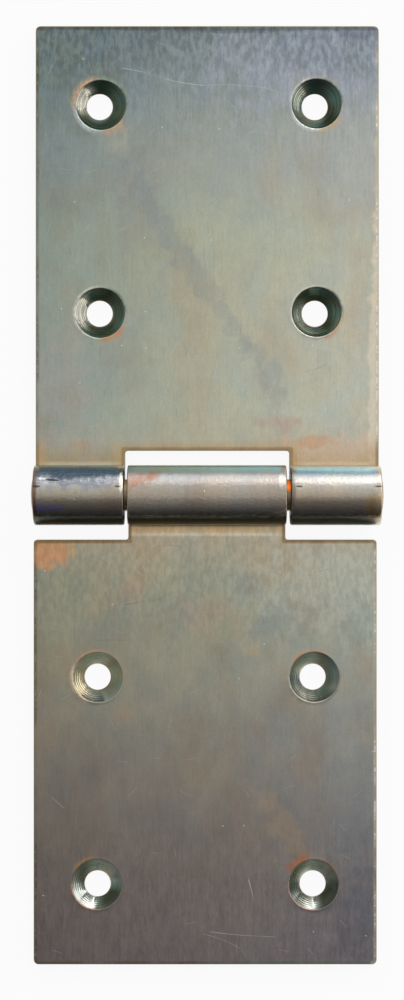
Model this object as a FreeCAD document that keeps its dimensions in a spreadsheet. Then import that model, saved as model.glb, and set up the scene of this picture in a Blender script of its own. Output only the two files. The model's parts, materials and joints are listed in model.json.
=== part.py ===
import FreeCAD, Part
import math
import os

import Sketcher

# A steel butt hinge, lying open and flat on the backs of its leaves.
# +Z is up, the pin lies along X, the leaf with two knuckles reaches towards +Y and the leaf with
# one knuckle towards -Y. The origin is under the middle of the pin, on the plane of the leaf backs.
# All sizes are in millimetres.

SIZES = {
    # Both leaves are pressed from the same strip.
    "leaf_width": (50.0, "leaf, measured along the pin"),
    "leaf_reach": (68.4, "pin axis to the free edge of a leaf"),
    "sheet_thickness": (2.0, "thickness of the strip"),
    "corner_round": (0.7, "radius of the free corners in plan"),
    "edge_break": (0.25, "soft edge that the punch leaves on the back of the strip"),
    # The pin, and the eyes that are rolled over it.
    "pin_diameter": (4.6, "shank of the pin"),
    "pin_play": (0.05, "gap all round between pin and eye"),
    "seam_gap": (0.08, "gap between the rolled end of the strip and the face of the leaf"),
    "head_spread": (0.25, "how far a riveted end spreads past the shank, all round"),
    "head_height": (0.45, "how far a riveted end stands out"),
    "head_rim": (0.1, "straight edge of a riveted end, under its dome"),
    # The knuckles, and the gaps in which they turn.
    "middle_knuckle": (22.9, "length of the single knuckle"),
    "knuckle_play": (1.1, "free length along the pin, both gaps added"),
    "knuckle_room": (2.15, "gap between a knuckle and the edge of the other leaf"),
    "notch_round": (0.4, "radius in the inner corners of the notches"),
    "knuckle_offset": (0.25, "middle of the single knuckle from the middle of its leaf"),
    "leaf_shift": (-0.3, "where the leaf with one knuckle lies along the pin"),
    # Four countersunk screw holes in each leaf.
    "screw_hole": (3.8, "diameter of the hole for the screw's shank"),
    "sink_diameter": (7.2, "countersink at the face of the leaf"),
    "sink_angle": (90.0, "included angle of the countersink"),
    "screw_side": (9.25, "side edge of the leaf to the nearest holes"),
    "screw_end": (11.5, "free edge of the leaf to the outer row of holes"),
    "screw_start": (26.6, "pin axis to the inner row of holes"),
}

EYE_RADIUS = "(Sizes.pin_diameter / 2 + Sizes.pin_play)"
KNUCKLE_RADIUS = "(Sizes.pin_diameter / 2 + Sizes.pin_play + Sizes.sheet_thickness)"
NOTCH_DEPTH = f"({KNUCKLE_RADIUS} + Sizes.knuckle_room)"
TOUCH = 1e-6

size = {name: value for name, (value, note) in SIZES.items()}
eye_radius = size["pin_diameter"] / 2 + size["pin_play"]
knuckle_radius = eye_radius + size["sheet_thickness"]
notch_depth = knuckle_radius + size["knuckle_room"]

START, END, CENTRE = range(1, 4)
H_AXIS, V_AXIS = range(-1, -3, -1)
ORIGIN = (H_AXIS, START)

doc = FreeCAD.newDocument("ButtHinge")
sheet = doc.addObject("Spreadsheet::Sheet", "Sizes")
for row, (name, (value, note)) in enumerate(SIZES.items(), start=1):
    sheet.set(f"A{row}", name)
    sheet.set(f"B{row}", str(value))
    sheet.set(f"C{row}", note)
    sheet.setAlias(f"B{row}", name)
doc.recompute()


def vector(x, y):
    return FreeCAD.Vector(x, y, 0)


def new_body(label):
    body = doc.addObject("PartDesign::Body", label)
    body.Label = label
    return body


def new_sketch(body, name, role):
    """A sketch on one of the body's own origin planes."""
    sketch = body.newObject("Sketcher::SketchObject", name)
    plane = next(item for item in body.Origin.OriginFeatures if item.Role == role)
    sketch.AttachmentSupport = (plane, "")
    sketch.MapMode = "FlatFace"
    return sketch


def join(sketch, *pairs):
    """Each pair is two points, (geometry, end), that meet."""
    for first, second in pairs:
        sketch.addConstraint(Sketcher.Constraint("Coincident", *first, *second))


def dimension(sketch, name, kind, refs, value, expression):
    """A named dimension whose value follows the sheet."""
    index = sketch.addConstraint(Sketcher.Constraint(kind, *refs, value))
    sketch.renameConstraint(index, name)
    sketch.setExpression(f"Constraints.{name}", expression)


def line(sketch, start, end):
    return sketch.addGeometry(Part.LineSegment(vector(*start), vector(*end)), False)


def arc(sketch, centre, radius, first, last):
    """An arc that runs anticlockwise from one angle to the other, in radians."""
    circle = Part.Circle(vector(*centre), FreeCAD.Vector(0, 0, 1), radius)
    return sketch.addGeometry(Part.ArcOfCircle(circle, first, last), False)


def draw_rolled_strip(sketch):
    """Section across a leaf, with Y to the right and Z up.

    The flat strip lies on its back. Its root turns once round the pin, away from the leaf,
    over the top and down again, until its cut end stands just over the leaf's face.
    """
    reach = size["leaf_reach"]
    thick = size["sheet_thickness"]
    axis = (0, knuckle_radius)
    lip_rise = thick + size["seam_gap"] - knuckle_radius
    lip_angle = math.asin(lip_rise / knuckle_radius)
    lip_in = (eye_radius * math.cos(lip_angle), knuckle_radius + eye_radius * math.sin(lip_angle))
    lip_out = (knuckle_radius * math.cos(lip_angle), thick + size["seam_gap"])

    back = line(sketch, (0, 0), (reach, 0))
    free_edge = line(sketch, (reach, 0), (reach, thick))
    face = line(sketch, (reach, thick), (0, thick))
    lip = line(sketch, lip_out, lip_in)
    outer = arc(sketch, axis, knuckle_radius, lip_angle, 1.5 * math.pi)
    inner = arc(sketch, axis, eye_radius, lip_angle, 1.5 * math.pi)
    join(
        sketch,
        ((back, START), ORIGIN),
        ((back, END), (free_edge, START)),
        ((free_edge, END), (face, START)),
        ((face, END), (inner, END)),
        ((lip, START), (outer, START)),
        ((lip, END), (inner, START)),
        ((outer, END), (back, START)),
        ((outer, CENTRE), (inner, CENTRE)),
    )
    sketch.addConstraint(Sketcher.Constraint("Horizontal", back))
    sketch.addConstraint(Sketcher.Constraint("Vertical", free_edge))
    sketch.addConstraint(Sketcher.Constraint("Horizontal", face))
    sketch.addConstraint(Sketcher.Constraint("PointOnObject", outer, CENTRE, V_AXIS))
    sketch.addConstraint(Sketcher.Constraint("PointOnObject", face, END, V_AXIS))
    sketch.addConstraint(Sketcher.Constraint("PointOnObject", outer, CENTRE, lip))
    dimension(sketch, "outside", "Radius", (outer,), knuckle_radius, KNUCKLE_RADIUS)
    dimension(sketch, "eye", "Radius", (inner,), eye_radius, EYE_RADIUS)
    dimension(sketch, "reach", "DistanceX", (back, START, back, END), reach, "Sizes.leaf_reach")
    dimension(
        sketch,
        "seam",
        "DistanceY",
        (face, END, outer, START),
        size["seam_gap"],
        "Sizes.seam_gap",
    )


def draw_open_notch(sketch, name, sides):
    """A notch with a flat floor, drawn in plan and open past the knuckles.

    Each side is (x, rounded, expression), the left one first. A rounded side meets the floor
    in an inner corner radius, and any other runs clear of the leaf.
    """
    floor = notch_depth
    mouth = -2 * knuckle_radius
    round_ = size["notch_round"]
    (left, left_round, left_at), (right, right_round, right_at) = sides
    left_gap = round_ if left_round else 0.0
    right_gap = round_ if right_round else 0.0

    wall_left = line(sketch, (left, mouth), (left, floor - left_gap))
    base = line(sketch, (left + left_gap, floor), (right - right_gap, floor))
    wall_right = line(sketch, (right, floor - right_gap), (right, mouth))
    open_end = line(sketch, (right, mouth), (left, mouth))
    if left_round:
        centre = (left + round_, floor - round_)
        corner = arc(sketch, centre, round_, math.pi / 2, math.pi)
        sketch.addConstraint(Sketcher.Constraint("Tangent", wall_left, END, corner, END))
        sketch.addConstraint(Sketcher.Constraint("Tangent", base, START, corner, START))
        dimension(sketch, f"{name}_left_round", "Radius", (corner,), round_, "Sizes.notch_round")
    else:
        join(sketch, ((wall_left, END), (base, START)))
    if right_round:
        centre = (right - round_, floor - round_)
        corner = arc(sketch, centre, round_, 0, math.pi / 2)
        sketch.addConstraint(Sketcher.Constraint("Tangent", base, END, corner, END))
        sketch.addConstraint(Sketcher.Constraint("Tangent", wall_right, START, corner, START))
        dimension(sketch, f"{name}_right_round", "Radius", (corner,), round_, "Sizes.notch_round")
    else:
        join(sketch, ((base, END), (wall_right, START)))
    join(
        sketch,
        ((wall_right, END), (open_end, START)),
        ((open_end, END), (wall_left, START)),
    )
    sketch.addConstraint(Sketcher.Constraint("Vertical", wall_left))
    sketch.addConstraint(Sketcher.Constraint("Vertical", wall_right))
    sketch.addConstraint(Sketcher.Constraint("Horizontal", base))
    sketch.addConstraint(Sketcher.Constraint("Horizontal", open_end))
    dimension(sketch, f"{name}_depth", "DistanceY", (*ORIGIN, base, START), floor, NOTCH_DEPTH)
    dimension(
        sketch,
        f"{name}_mouth",
        "DistanceY",
        (open_end, START, *ORIGIN),
        -mouth,
        f"2 * {KNUCKLE_RADIUS}",
    )
    for side, wall, place, expression in (
        ("left", wall_left, left, left_at),
        ("right", wall_right, right, right_at),
    ):
        dimension(
            sketch,
            f"{name}_{side}",
            "DistanceX",
            (*ORIGIN, wall, START),
            place,
            expression,
        )


def cut_through(body, sketch, name):
    """Cuts the sketch upwards through the whole leaf, and makes sure that metal went."""
    before = body.Tip.Shape.Volume
    pocket = body.newObject("PartDesign::Pocket", name)
    pocket.Profile = sketch
    pocket.Type = "ThroughAll"
    pocket.Reversed = True
    doc.recompute()
    if not pocket.Shape.Volume < before - TOUCH:
        raise ValueError(f"{name} cuts nothing")


def edges_where(feature, test):
    return [f"Edge{index}" for index, edge in enumerate(feature.Shape.Edges, 1) if test(edge)]


def dress_edges(body, name, kind, amount, expression, test):
    """Rounds or bevels the edges of the body's last feature that pass the test."""
    base = body.Tip
    dressed = body.newObject(f"PartDesign::{kind}", name)
    dressed.Base = (base, edges_where(base, test))
    dressed.setExpression(amount, expression)
    doc.recompute()


def is_free_corner(edge):
    """A short upright edge at the far end of the leaf."""
    box = edge.BoundBox
    upright = box.XLength < TOUCH and box.YLength < TOUCH
    return upright and abs(edge.CenterOfMass.y - size["leaf_reach"]) < TOUCH


def is_back_outline(edge):
    """An edge of the back: the outline of the flat, or the rim of a knuckle's end."""
    box = edge.BoundBox
    under_the_pin = box.YLength < TOUCH and abs(edge.CenterOfMass.y) < TOUCH
    if box.ZMax < TOUCH:
        return not under_the_pin
    is_round = isinstance(edge.Curve, Part.Circle)
    return is_round and box.XLength < TOUCH and abs(edge.Curve.Radius - knuckle_radius) < TOUCH


def drill_screw_holes(body):
    """Two rows of two countersunk holes, sunk from the face of the leaf."""
    sketch = new_sketch(body, "ScrewHoles", "XY_Plane")
    sketch.setExpression("AttachmentOffset.Base.z", "Sizes.sheet_thickness")
    from_middle = size["leaf_width"] / 2 - size["screw_side"]
    rows = (
        ("inner", size["screw_start"], "Sizes.screw_start"),
        ("outer", size["leaf_reach"] - size["screw_end"], "Sizes.leaf_reach - Sizes.screw_end"),
    )
    for row, along, along_at in rows:
        for side, sign in (("left", -1), ("right", 1)):
            across = sign * from_middle
            radius = size["screw_hole"] / 2
            circle = Part.Circle(vector(across, along), FreeCAD.Vector(0, 0, 1), radius)
            hole = sketch.addGeometry(circle, False)
            name = f"hole_{row}_{side}"
            dimension(
                sketch,
                f"{name}_size",
                "Diameter",
                (hole,),
                size["screw_hole"],
                "Sizes.screw_hole",
            )
            dimension(
                sketch,
                f"{name}_across",
                "DistanceX",
                (*ORIGIN, hole, CENTRE),
                across,
                f"{sign} * (Sizes.leaf_width / 2 - Sizes.screw_side)",
            )
            dimension(
                sketch,
                f"{name}_along",
                "DistanceY",
                (*ORIGIN, hole, CENTRE),
                along,
                along_at,
            )
    doc.recompute()
    before = body.Tip.Shape.Volume
    holes = body.newObject("PartDesign::Hole", "CountersunkHoles")
    holes.Profile = sketch
    doc.recompute()
    holes.DepthType = "ThroughAll"
    holes.HoleCutType = "Countersink"
    holes.HoleCutCustomValues = True
    holes.setExpression("Diameter", "Sizes.screw_hole")
    holes.setExpression("HoleCutDiameter", "Sizes.sink_diameter")
    holes.setExpression("HoleCutCountersinkAngle", "Sizes.sink_angle")
    doc.recompute()
    if not holes.Shape.Volume < before - TOUCH:
        raise ValueError("the screw holes cut nothing")


def make_leaf(label, notches):
    """One leaf: the rolled strip, its notches, soft edges and screw holes.

    It is drawn reaching towards +Y. Each notch is the pair of sides of one cut.
    """
    body = new_body(label)
    section = new_sketch(body, "RolledStrip", "YZ_Plane")
    draw_rolled_strip(section)
    strip = body.newObject("PartDesign::Pad", "Strip")
    strip.Profile = section
    strip.SideType = "Symmetric"
    strip.setExpression("Length", "Sizes.leaf_width")
    doc.recompute()

    plan = new_sketch(body, "Notches", "XY_Plane")
    for index, sides in enumerate(notches):
        draw_open_notch(plan, f"notch_{index}", sides)
    doc.recompute()
    cut_through(body, plan, "KnuckleNotches")
    dress_edges(body, "FreeCorners", "Fillet", "Radius", "Sizes.corner_round", is_free_corner)
    dress_edges(body, "SoftBack", "Chamfer", "Size", "Sizes.edge_break", is_back_outline)
    drill_screw_holes(body)
    return body


# The leaf with two knuckles. One notch in the middle of its root takes the other leaf's knuckle.
notch_half = (size["middle_knuckle"] + size["knuckle_play"]) / 2
NOTCH_HALF = "(Sizes.middle_knuckle + Sizes.knuckle_play) / 2"
make_leaf(
    "two_knuckle_leaf",
    [((-notch_half, True, f"-{NOTCH_HALF}"), (notch_half, True, NOTCH_HALF))],
)

# The leaf with one knuckle. Both ends of its root are cut away, and it is turned round to face
# the first leaf, so that what lies to its right here lies to the left of the finished hinge.
knuckle_low = -size["knuckle_offset"] - size["middle_knuckle"] / 2
knuckle_high = -size["knuckle_offset"] + size["middle_knuckle"] / 2
past_side = size["leaf_width"]
KNUCKLE_LOW = "-Sizes.knuckle_offset - Sizes.middle_knuckle / 2"
KNUCKLE_HIGH = "-Sizes.knuckle_offset + Sizes.middle_knuckle / 2"
single = make_leaf(
    "one_knuckle_leaf",
    [
        ((-past_side, False, "-Sizes.leaf_width"), (knuckle_low, True, KNUCKLE_LOW)),
        ((knuckle_high, True, KNUCKLE_HIGH), (past_side, False, "Sizes.leaf_width")),
    ],
)
half_turn = FreeCAD.Rotation(FreeCAD.Vector(0, 0, 1), 180)
single.Placement = FreeCAD.Placement(FreeCAD.Vector(size["leaf_shift"], 0, 0), half_turn)
single.setExpression("Placement.Base.x", "Sizes.leaf_shift")


def draw_pin_half(sketch):
    """Half section of the pin, with X to the right and the distance from its axis upwards.

    Both ends are riveted over into a low dome that bears on the end of a knuckle.
    """
    half = size["leaf_width"] / 2
    shank = size["pin_diameter"] / 2
    head = shank + size["head_spread"]
    rim = size["head_rim"]
    tip = size["head_height"]
    rise = tip - rim
    dome = (head**2 + rise**2) / (2 * rise)
    dome_centre = half + tip - dome
    dome_angle = math.asin(head / dome)

    axis = line(sketch, (-half - tip, 0), (half + tip, 0))
    right_dome = arc(sketch, (dome_centre, 0), dome, 0, dome_angle)
    right_rim = line(sketch, (half + rim, head), (half, head))
    right_seat = line(sketch, (half, head), (half, shank))
    side = line(sketch, (half, shank), (-half, shank))
    left_seat = line(sketch, (-half, shank), (-half, head))
    left_rim = line(sketch, (-half, head), (-half - rim, head))
    left_dome = arc(sketch, (-dome_centre, 0), dome, math.pi - dome_angle, math.pi)
    join(
        sketch,
        ((axis, END), (right_dome, START)),
        ((right_dome, END), (right_rim, START)),
        ((right_rim, END), (right_seat, START)),
        ((right_seat, END), (side, START)),
        ((side, END), (left_seat, START)),
        ((left_seat, END), (left_rim, START)),
        ((left_rim, END), (left_dome, START)),
        ((left_dome, END), (axis, START)),
    )
    for level in (right_rim, left_rim):
        sketch.addConstraint(Sketcher.Constraint("Horizontal", level))
    for upright in (right_seat, left_seat):
        sketch.addConstraint(Sketcher.Constraint("Vertical", upright))
    for point in ((axis, START), (right_dome, CENTRE), (left_dome, CENTRE)):
        sketch.addConstraint(Sketcher.Constraint("PointOnObject", *point, H_AXIS))
    for right, left in (
        ((side, START), (side, END)),
        ((axis, END), (axis, START)),
        ((right_rim, START), (left_rim, END)),
    ):
        sketch.addConstraint(Sketcher.Constraint("Symmetric", *right, *left, V_AXIS))
    dimension(
        sketch,
        "between_heads",
        "DistanceX",
        (side, END, side, START),
        2 * half,
        "Sizes.leaf_width",
    )
    dimension(
        sketch,
        "shank",
        "DistanceY",
        (*ORIGIN, side, START),
        shank,
        "Sizes.pin_diameter / 2",
    )
    dimension(
        sketch,
        "head",
        "DistanceY",
        (*ORIGIN, right_seat, START),
        head,
        "Sizes.pin_diameter / 2 + Sizes.head_spread",
    )
    dimension(
        sketch,
        "rim",
        "DistanceX",
        (right_rim, END, right_rim, START),
        rim,
        "Sizes.head_rim",
    )
    dimension(
        sketch,
        "tip",
        "DistanceX",
        (side, START, axis, END),
        tip,
        "Sizes.head_height",
    )


# The pin. It runs through all three knuckles and stays with the leaf that has two of them.
pin = new_body("hinge_pin")
pin_section = new_sketch(pin, "PinSection", "XZ_Plane")
draw_pin_half(pin_section)
turned = pin.newObject("PartDesign::Revolution", "TurnedPin")
turned.Profile = pin_section
turned.ReferenceAxis = (pin_section, ["H_Axis"])
pin.setExpression("Placement.Base.z", KNUCKLE_RADIUS)
doc.recompute()

# Nothing is written unless every object worked out and every piece is one sound solid.
bodies = [item for item in doc.Objects if item.isDerivedFrom("PartDesign::Body")]
for item in doc.Objects:
    if "Invalid" in item.State or "Error" in item.State:
        raise ValueError(f"{item.Label} did not work out")
for body in bodies:
    shape = body.Shape
    if shape.isNull() or not shape.isValid() or len(shape.Solids) != 1:
        raise ValueError(f"{body.Label} is not one sound solid")

os.makedirs("parts", exist_ok=True)
for body in bodies:
    body.Shape.exportStep(f"parts/{body.Label}.step")
    box = body.Shape.BoundBox
    print(
        f"{body.Label}: {body.Shape.Volume:.1f} mm3,"
        f" X {box.XMin:.3f} to {box.XMax:.3f},"
        f" Y {box.YMin:.3f} to {box.YMax:.3f},"
        f" Z {box.ZMin:.3f} to {box.ZMax:.3f}"
    )
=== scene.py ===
import json
import math

import bmesh
import bpy
import numpy as np
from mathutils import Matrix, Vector


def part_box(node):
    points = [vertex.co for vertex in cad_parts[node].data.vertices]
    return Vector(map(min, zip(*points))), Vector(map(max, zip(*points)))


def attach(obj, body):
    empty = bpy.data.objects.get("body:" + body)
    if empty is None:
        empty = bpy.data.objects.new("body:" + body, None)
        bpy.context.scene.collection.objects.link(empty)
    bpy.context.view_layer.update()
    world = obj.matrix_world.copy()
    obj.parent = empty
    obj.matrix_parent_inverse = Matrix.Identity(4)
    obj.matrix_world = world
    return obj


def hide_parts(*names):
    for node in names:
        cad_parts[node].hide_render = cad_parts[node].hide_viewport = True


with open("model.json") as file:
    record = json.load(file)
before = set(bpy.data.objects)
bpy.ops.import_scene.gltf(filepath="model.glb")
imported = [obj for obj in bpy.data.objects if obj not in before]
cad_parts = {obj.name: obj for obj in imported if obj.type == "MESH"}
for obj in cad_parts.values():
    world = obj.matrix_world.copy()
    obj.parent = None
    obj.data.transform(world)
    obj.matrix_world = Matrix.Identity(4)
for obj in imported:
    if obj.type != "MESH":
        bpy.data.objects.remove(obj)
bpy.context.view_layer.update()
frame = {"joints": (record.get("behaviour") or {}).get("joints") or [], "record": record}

# The leaves. Each is pressed from 2 mm steel strip: punched to its outline, pierced, sunk for
# its screws from the face, and then rolled at the root into eyes that turn round the pin.
# A leaf is worked out as the flat blank first, and its root is rolled up at the very end.
MM = 0.001
PIN_HEIGHT = frame["joints"][0]["pos_m"][2]
STRIP = 2.0 * MM
HALF_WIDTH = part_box("two_knuckle_leaf")[1].x
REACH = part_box("two_knuckle_leaf")[1].y


def eased(start, end, cells, pull):
    """Places from start to end: an even t bent to t - pull sin(2 pi t) / 2 pi.

    The steps shrink by the share pull towards both ends.
    """
    t = np.linspace(0, 1, cells + 1)
    t = t - pull * np.sin(2 * np.pi * t) / (2 * np.pi)
    return start + (end - start) * t


def ladder(*spans):
    """Eased spans (start, end, cells, pull) laid end to end."""
    runs = [eased(*span) for span in spans]
    return np.concatenate([runs[0]] + [run[1:] for run in runs[1:]])


def smooth(t):
    """3 t^2 - 2 t^3, held at 0 and 1 outside that range."""
    t = np.clip(t, 0, 1)
    return t * t * (3 - 2 * t)


def soften(x, s, corner, toward, radius):
    """Turns a square corner of the grid into a round one.

    Seen from the arc's centre, a point at the greater of its two distances rho and at the
    straight distance L moves by the ratio rho / L, which carries a square onto a circle.
    Beyond the arc the move dies out over three radii.
    """
    centre_x = corner[0] - radius * toward[0]
    centre_s = corner[1] - radius * toward[1]
    a = (x - centre_x) * toward[0] / radius
    b = (s - centre_s) * toward[1] / radius
    rho = np.maximum(a, b)
    straight = np.maximum(np.hypot(a, b), 1e-9)
    fade = np.clip(1 - (rho - 1) / 3, 0, 1)
    scale = np.where((a > 0) & (b > 0), 1 + (rho / straight - 1) * fade, 1)
    return centre_x + (x - centre_x) * scale, centre_s + (s - centre_s) * scale


def walk(corners):
    """Grid places (i, j) along straight legs from corner to corner, and back to the first."""
    legs_i = []
    legs_j = []
    for (i0, j0), (i1, j1) in zip(corners, corners[1:] + corners[:1]):
        steps = max(abs(i1 - i0), abs(j1 - j0))
        legs_i.append(np.linspace(i0, i1, steps + 1)[:-1])
        legs_j.append(np.linspace(j0, j1, steps + 1)[:-1])
    return (
        np.rint(np.concatenate(legs_i)).astype(int),
        np.rint(np.concatenate(legs_j)).astype(int),
    )


def quads(index):
    """The four-sided faces between neighbours of a two-way array of vertex numbers."""
    a, b = index[:-1, :-1], index[1:, :-1]
    c, d = index[1:, 1:], index[:-1, 1:]
    return np.stack([a, b, c, d], -1).reshape(-1, 4)


# The middle of the strip keeps its length while it is rolled, and its end leaves a thin seam.
SEAM = 0.08 * MM
ROLL_MEAN = PIN_HEIGHT - STRIP / 2
ROLL_TURN = 1.5 * math.pi + math.asin((PIN_HEIGHT - STRIP - SEAM) / PIN_HEIGHT)


def rolled(x, s, w):
    """Carries the blank onto the leaf. w is the height over the back of the strip.

    Where s is positive the blank stays flat, at (x, s, w). Where s is negative it turns by
    the angle -s / mean radius about the pin, at the distance pin height - w.
    """
    turn = np.maximum(-s, 0) / ROLL_MEAN
    radius = PIN_HEIGHT - w
    y = np.where(s > 0, s, -radius * np.sin(turn))
    z = np.where(s > 0, w, PIN_HEIGHT - radius * np.cos(turn))
    return x, y, z


def waves(x, s):
    """How far the strip is out of flat: two crossed sines that are nought at the root."""
    swell = np.sin(x / (7.1 * MM) + 0.8) * np.sin(s / (9.7 * MM) + 0.4)
    ripple = np.sin(x / (3.3 * MM) + s / (13.0 * MM))
    fade = smooth((s - 4 * MM) / (12 * MM))
    return fade * (0.02 * MM * (1 + swell) + 0.004 * MM * (1 + ripple))


def marked(x, s, w, marks, jaw_line):
    """Heights w with the flaws of the strip added.

    Each mark is a bell (x, s, half length, half breadth, depth) sunk into the back of the
    strip, which is the outside of a knuckle. The face gets a line, jaw_line deep, where the
    rolling jaw held it.
    """
    face = w / STRIP
    jaw = jaw_line * MM * np.exp(-(((s - 5.55 * MM) / (0.3 * MM)) ** 2))
    sunk = np.zeros_like(w)
    for mark_x, mark_s, long, broad, depth in marks:
        bell = ((x - mark_x * MM) / (long * MM)) ** 4 + ((s - mark_s * MM) / (broad * MM)) ** 2
        sunk = sunk + depth * MM * np.exp(-bell)
    return w + waves(x, s) - jaw * face + sunk * (1 - face)


def from_edge(x, s, cuts):
    """Distance from each point to the nearest straight cut of the closed outline cuts.

    The point's share of the way along a cut is held between 0 and 1, and the distance is
    taken to that place on it.
    """
    nearest = np.full(x.shape, 1.0)
    for (x0, s0), (x1, s1) in zip(cuts, cuts[1:] + cuts[:1]):
        run_x, run_s = x1 - x0, s1 - s0
        share = ((x - x0) * run_x + (s - s0) * run_s) / (run_x**2 + run_s**2)
        share = np.clip(share, 0, 1)
        nearest = np.minimum(nearest, np.hypot(x - x0 - share * run_x, s - s0 - share * run_s))
    return nearest


# The punch draws the back down into a radius, and leaves a smaller one at the face.
PUNCHED = 0.25 * MM
FACE_EDGE = 0.1 * MM


def rim_profile():
    """Rows (outwards, height) down a punched edge, from the face to the back.

    The face keeps a small radius. The back is drawn down into a larger one by the punch.
    """
    small = np.linspace(0, math.pi / 2, 4)
    large = np.linspace(0, math.pi / 2, 6)
    out = [[PUNCHED - 2 * FACE_EDGE, PUNCHED - 1.3 * FACE_EDGE]]
    high = [[STRIP, STRIP]]
    out.append(PUNCHED - FACE_EDGE + FACE_EDGE * np.sin(small))
    high.append(STRIP - FACE_EDGE + FACE_EDGE * np.cos(small))
    out.append([PUNCHED, PUNCHED])
    high.append([1.3 * MM, 0.7 * MM])
    out.append(PUNCHED * np.cos(large[:-1]))
    high.append(PUNCHED * (1 - np.sin(large[:-1])))
    return np.concatenate(out), np.concatenate(high)


# Four screw holes, where the frame has them. Round each one a square patch is cut out of the
# grid, HOLE_PATCH to each side, and filled with rings.
screws = frame["record"]["mounts"][0]
HOLE_ACROSS = screws["dims"]["spacing_x_mm"] * MM / 2
HOLE_ROWS = [
    screws["pos_m"][1] + side * screws["dims"]["spacing_y_mm"] * MM / 2 for side in (-1, 1)
]
HOLES = [(side * HOLE_ACROSS / MM, row / MM) for row in HOLE_ROWS for side in (-1, 1)]
HOLE_RADIUS = screws["dims"]["hole_r_mm"] * MM
SINK_RADIUS = 3.67 * MM
HOLE_PATCH = 4.7 * MM
PATCH_CELLS = 24


def chatter(angle, facets):
    """How much shallower the cone is cut at each angle, as a share of its depth.

    Each facet (from, to, lift) in degrees fades in over 24 degrees where the tool jumped and
    stops over 8 degrees where it dug in again.
    """
    lift = 0 * angle
    for begin, stop, share in facets:
        off = (np.degrees(angle) - (begin + stop) / 2 + 180) % 360 - 180
        half = (stop - begin) / 2
        lift = lift + share * smooth((off + half) / 24) * smooth((half - off) / 8)
    return lift


def hole_rows(angle, sink):
    """The wall of one screw hole: radii, heights and shares of the sink's offset, row by row.

    From the raised burr at the face, down a cone of 45 degrees that carries the tool's rings,
    to the short straight land, and out over the soft edge of the back.
    """
    torn = 0.5 + 0.5 * np.cos(angle - math.radians(sink["torn"]))
    tearing = 1 + 0.3 * np.sin(17 * angle) * np.sin(5 * angle)
    burr = (0.015 + 0.055 * torn**2 * tearing) * MM
    rows = [
        (SINK_RADIUS + 0.42 * MM, STRIP, 1),
        (SINK_RADIUS + 0.22 * MM, STRIP + 0.3 * burr, 1),
        (SINK_RADIUS + 0.08 * MM, STRIP + burr, 1),
        (SINK_RADIUS - 0.02 * MM, STRIP + 0.6 * burr, 1),
    ]
    width = SINK_RADIUS - HOLE_RADIUS
    depth = width * (1 - chatter(angle, sink["facets"]))
    ring_count = 6.5
    for q in np.linspace(0.04, 1, 36):
        ring = (0.003 + sink["rings"] * torn**4) * MM * math.sin(q * 2 * math.pi * ring_count)
        radius = SINK_RADIUS - width * q + ring * math.sin(math.pi * q)
        rows.append((radius, STRIP - depth * q, 1 - q))
    rows.append((HOLE_RADIUS, 0.15 * MM, 0))
    rows.append((HOLE_RADIUS + 0.03 * MM, 0.05 * MM, 0))
    rows.append((HOLE_RADIUS + 0.12 * MM, 0, 0))
    return [np.array([part + 0 * angle for part in column]) for column in zip(*rows)]


def between(ring, rows):
    """One measure of the rows, with two rows more from a ring to the first, and back to it."""
    inward = np.array([[0.35], [0.7]])
    outward = np.array([[0.3], [0.65]])
    first, last = rows[0], rows[-1]
    return np.vstack([ring + (first - ring) * inward, rows, last + (ring - last) * outward])


def closed_surface(name, points, faces, slots, materials, weld=False):
    """A smooth object made of four-sided faces, with their normals turned outward."""
    mesh = bpy.data.meshes.new(name)
    mesh.from_pydata(points.tolist(), [], faces.tolist())
    mesh.polygons.foreach_set("material_index", slots)
    surface = bmesh.new()
    surface.from_mesh(mesh)
    if weld:
        bmesh.ops.remove_doubles(surface, verts=surface.verts, dist=1e-7)
    bmesh.ops.recalc_face_normals(surface, faces=surface.faces)
    surface.to_mesh(mesh)
    surface.free()
    mesh.shade_smooth()
    for material in materials:
        mesh.materials.append(material)
    made = bpy.data.objects.new(name, mesh)
    bpy.context.scene.collection.objects.link(made)
    return made


# Where a leaf's three materials stand in its list.
SKIN, SHEARED, CONE = range(3)


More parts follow.
